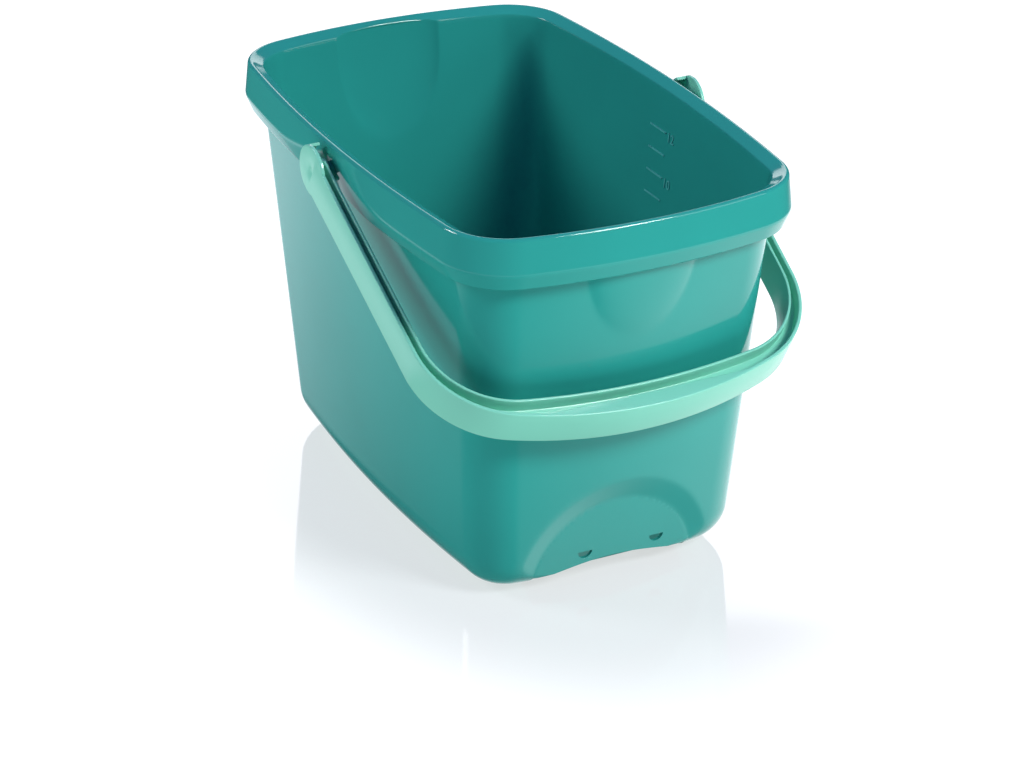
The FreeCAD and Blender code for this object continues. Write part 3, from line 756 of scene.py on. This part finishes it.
def plastic(name, colour, roughness, ripple, grain):
    """Moulded plastic: slight colour drift, fine grain, broad mould ripple."""
    material = bpy.data.materials.new(name)
    material.use_nodes = True
    nodes, links = material.node_tree.nodes, material.node_tree.links
    shader = nodes["Principled BSDF"]
    place = nodes.new("ShaderNodeTexCoord")

    def noise(scale, detail):
        node = nodes.new("ShaderNodeTexNoise")
        node.inputs["Scale"].default_value = scale
        node.inputs["Detail"].default_value = detail
        links.new(place.outputs["Object"], node.inputs["Vector"])
        return node

    drift = noise(DRIFT_SCALE, 2.0)
    ramp = nodes.new("ShaderNodeValToRGB")
    ramp.color_ramp.elements[0].position = 0.3
    ramp.color_ramp.elements[1].position = 0.7
    ramp.color_ramp.elements[0].color = (*[c * (1 - DRIFT) for c in colour], 1)
    ramp.color_ramp.elements[1].color = (*[min(c * (1 + DRIFT), 1) for c in colour], 1)
    links.new(drift.outputs["Fac"], ramp.inputs["Fac"])
    links.new(ramp.outputs["Color"], shader.inputs["Base Color"])
    rough = nodes.new("ShaderNodeMapRange")
    rough.inputs["To Min"].default_value = roughness * (1 - ROUGH_DRIFT)
    rough.inputs["To Max"].default_value = roughness * (1 + ROUGH_DRIFT)
    links.new(noise(ROUGH_SCALE, 4.0).outputs["Fac"], rough.inputs["Value"])
    links.new(rough.outputs["Result"], shader.inputs["Roughness"])
    broad = nodes.new("ShaderNodeBump")
    broad.inputs["Strength"].default_value = ripple
    broad.inputs["Distance"].default_value = RIPPLE_HEIGHT
    links.new(noise(RIPPLE_SCALE, 1.0).outputs["Fac"], broad.inputs["Height"])
    fine = nodes.new("ShaderNodeBump")
    fine.inputs["Strength"].default_value = grain
    fine.inputs["Distance"].default_value = GRAIN_HEIGHT
    links.new(noise(GRAIN_SCALE, 2.0).outputs["Fac"], fine.inputs["Height"])
    links.new(broad.outputs["Normal"], fine.inputs["Normal"])
    links.new(fine.outputs["Normal"], shader.inputs["Normal"])
    shader.inputs["IOR"].default_value = 1.5
    return material


def dress(piece, material, body):
    piece.data.materials.clear()
    piece.data.materials.append(material)
    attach(piece, body)


# ---------------------------------------------------------------- stage

def soft_light(name, place, target, width, depth, watts):
    light = bpy.data.lights.new(name, "AREA")
    light.shape = "RECTANGLE"
    light.size, light.size_y = width, depth
    light.energy = watts
    lamp = bpy.data.objects.new(name, light)
    bpy.context.scene.collection.objects.link(lamp)
    lamp.location = place
    lamp.rotation_euler = (Vector(target) - Vector(place)).to_track_quat("-Z", "Y").to_euler()
    return lamp


def floor_paper():
    """Back-lit white table with a glassy top, its glow lowered under and beside the object as a
    painted shadow.
    """
    fade_start, fade_end, glassy = 1.4, 2.7, 0.62
    paper = bpy.data.materials.new("floor_gloss")
    paper.use_nodes = True
    nodes, links = paper.node_tree.nodes, paper.node_tree.links
    shader = nodes["Principled BSDF"]
    place = nodes.new("ShaderNodeTexCoord")
    squeeze = nodes.new("ShaderNodeVectorMath")
    squeeze.operation = "MULTIPLY"
    squeeze.inputs[1].default_value = (1 / (BASE["width"] * MM), 1 / (BASE["length"] * MM), 0)
    links.new(place.outputs["Object"], squeeze.inputs[0])
    distance = nodes.new("ShaderNodeVectorMath")
    distance.operation = "LENGTH"
    links.new(squeeze.outputs["Vector"], distance.inputs[0])
    # Painted shadow: the table's glow drops close to the object.
    fade = nodes.new("ShaderNodeMapRange")
    fade.interpolation_type = "SMOOTHSTEP"
    fade.inputs["From Min"].default_value = fade_start
    fade.inputs["From Max"].default_value = fade_end
    fade.inputs["To Min"].default_value = FLOOR_PAINTED_SHADE_GLOW
    fade.inputs["To Max"].default_value = FLOOR_GLOW
    links.new(distance.outputs["Value"], fade.inputs["Value"])
    links.new(fade.outputs["Result"], shader.inputs["Emission Strength"])
    # The glassy reflection dies away where the glow takes over.
    gloss = nodes.new("ShaderNodeMapRange")
    gloss.inputs["From Min"].default_value = FLOOR_PAINTED_SHADE_GLOW
    gloss.inputs["From Max"].default_value = FLOOR_GLOW
    gloss.inputs["To Min"].default_value = glassy
    gloss.inputs["To Max"].default_value = 0.0
    links.new(fade.outputs["Result"], gloss.inputs["Value"])
    links.new(gloss.outputs["Result"], shader.inputs["Specular IOR Level"])
    shader.inputs["Emission Color"].default_value = (1.0, 1.0, 1.0, 1)
    shader.inputs["Base Color"].default_value = (0.22, 0.24, 0.25, 1)
    shader.inputs["Roughness"].default_value = 0.06
    shader.inputs["IOR"].default_value = 1.5
    return paper


def room():
    world = bpy.data.worlds.new("studio")
    bpy.context.scene.world = world
    world.use_nodes = True
    nodes, links = world.node_tree.nodes, world.node_tree.links

    def maths(operation, first, second):
        node = nodes.new("ShaderNodeMath")
        node.operation = operation
        for slot, value in zip(node.inputs, (first, second)):
            if isinstance(value, bpy.types.NodeSocket):
                links.new(value, slot)
            else:
                slot.default_value = value
        return node.outputs["Value"]

    place = nodes.new("ShaderNodeTexCoord")
    split = nodes.new("ShaderNodeSeparateXYZ")
    links.new(place.outputs["Generated"], split.inputs["Vector"])
    spread = nodes.new("ShaderNodeMapRange")
    spread.inputs["From Min"].default_value = -1.0
    links.new(split.outputs["Z"], spread.inputs["Value"])
    ramp = nodes.new("ShaderNodeValToRGB")
    stops = ramp.color_ramp.elements
    for height, colour in ROOM[1:-1]:
        stops.new((height + 1) / 2).color = (*colour, 1)
    stops[0].color = (*ROOM[0][1], 1)
    stops[-1].color = (*ROOM[-1][1], 1)
    links.new(spread.outputs["Result"], ramp.inputs["Fac"])
    # The table is brighter on the right, below GLOW_TOP and fading towards straight down.
    right = maths("MAXIMUM", split.outputs["X"], 0.0)
    low = maths("MAXIMUM", maths("SUBTRACT", GLOW_TOP, split.outputs["Z"]), 0.0)
    fading = maths("MULTIPLY", low, maths("ADD", split.outputs["Z"], 1.0))
    glow = maths("MULTIPLY", maths("MULTIPLY", right, fading), RIGHT_GLOW)
    total = nodes.new("ShaderNodeMix")
    total.data_type = "RGBA"
    total.blend_type = "ADD"
    total.inputs["Factor"].default_value = 1.0
    links.new(ramp.outputs["Color"], total.inputs["A"])
    links.new(glow, total.inputs["B"])
    links.new(total.outputs["Result"], nodes["Background"].inputs["Color"])


def far_wall():
    """White cylinder around the stage, seen behind the object in level views."""
    radius, height, sunk, steps = 5.8, 8.0, 0.01, 96
    angles = 2 * math.pi * np.arange(steps) / steps
    ring = np.column_stack([radius * np.cos(angles), radius * np.sin(angles)])
    vertices = np.vstack([ring_at(ring, -sunk), ring_at(ring, height)]) / MM
    faces = [(i, (i + 1) % steps, steps + (i + 1) % steps, steps + i) for i in range(steps)]
    wall = new_object("far_wall", vertices, faces)
    paper = bpy.data.materials.new("wall_paper")
    paper.use_nodes = True
    shader = paper.node_tree.nodes["Principled BSDF"]
    shader.inputs["Emission Color"].default_value = (1.0, 1.0, 1.0, 1)
    shader.inputs["Emission Strength"].default_value = 1.0
    wall.data.materials.append(paper)
    # It only fills the view: it neither lights the object nor mirrors in it.
    wall.visible_diffuse = wall.visible_glossy = wall.visible_shadow = False


def studio():
    mesh = bpy.data.meshes.new("floor")
    half = 6.0
    mesh.from_pydata([(-half, -half, 0), (half, -half, 0), (half, half, 0), (-half, half, 0)], [],
                     [(0, 1, 2, 3)])
    floor = bpy.data.objects.new("floor", mesh)
    bpy.context.scene.collection.objects.link(floor)
    floor.data.materials.append(floor_paper())
    floor.visible_glossy = False
    far_wall()
    room()
    soft_light("key", (1.5, -1.7, 1.1), (0, 0, 0.15), 0.9, 0.9, 6)
    soft_light("side", (-1.6, 1.0, 1.25), (0, 0, 0.2), 0.7, 0.7, 21)
    soft_light("overhead", (0.75, -1.6, 1.55), (0, 0, 0.2), 0.6, 0.6, 38)
    soft_light("backdrop", (1.3, 2.6, 1.25), (0, 0, 0.1), 1.6, 1.0, 12)
    bpy.context.scene.view_settings.view_transform = "Standard"


def camera():
    """Camera from the front-left corner, a little above the rim."""
    azimuth, elevation, roll = math.radians(-26.57), math.radians(26.49), math.radians(0.15)
    back = Vector((math.sin(azimuth) * math.cos(elevation),
                   -math.cos(azimuth) * math.cos(elevation), math.sin(elevation)))
    level = Vector((math.cos(azimuth), math.sin(azimuth), 0))
    rise = back.cross(level)
    right = level * math.cos(roll) + rise * math.sin(roll)
    up = rise * math.cos(roll) - level * math.sin(roll)
    distance, aside, lift = 2.0015, -0.00477, 0.05563
    data = bpy.data.cameras.new("camera")
    data.sensor_width = 36
    data.lens = 111.4
    data.shift_x, data.shift_y = 0.01354, 0.00333
    data.clip_start, data.clip_end = 0.05, 50
    view = bpy.data.objects.new("camera", data)
    bpy.context.scene.collection.objects.link(view)
    turn = Matrix((right, up, back)).transposed().to_4x4()
    view.matrix_world = Matrix.Translation(right * aside + up * lift + back * distance) @ turn
    bpy.context.scene.camera = view


# ---------------------------------------------------------------- build

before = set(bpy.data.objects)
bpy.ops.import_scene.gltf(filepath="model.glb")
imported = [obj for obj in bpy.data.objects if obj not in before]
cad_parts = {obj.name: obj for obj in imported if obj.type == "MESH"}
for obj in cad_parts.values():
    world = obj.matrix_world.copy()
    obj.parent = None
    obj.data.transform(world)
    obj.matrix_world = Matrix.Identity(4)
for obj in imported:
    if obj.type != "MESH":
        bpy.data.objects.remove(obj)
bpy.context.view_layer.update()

teal = plastic("teal_plastic", (0.024, 0.325, 0.28), 0.1, 0.03, 0.015)
# The scale's fine marks are frosted (rougher), and their paler teal is a painted highlight for the
# light their tops catch.
scale = plastic("scale_painted_highlight", (0.09, 0.50, 0.45), 0.4, 0.04, 0.03)
mint = plastic("mint_plastic", (0.215, 0.65, 0.49), 0.2, 0.04, 0.03)

shell = bucket_shell()
dress(shell, teal, "bucket")
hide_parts("bucket")
marks = [litre_mark(index) for index in range(MARK_COUNT)]
marks += [litre_number("12", 0), litre_number("10", 2)]
for mark in marks:
    # The marks and numbers get the paler teal of the painted highlight.
    dress(mark, scale, "bucket")
for side, label in ((-1, "left"), (1, "right")):
    dress(trunnion(side, label), teal, "bucket")

handle = bail()
dress(handle, mint, "handle")
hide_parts("bail_handle")

studio()
camera()
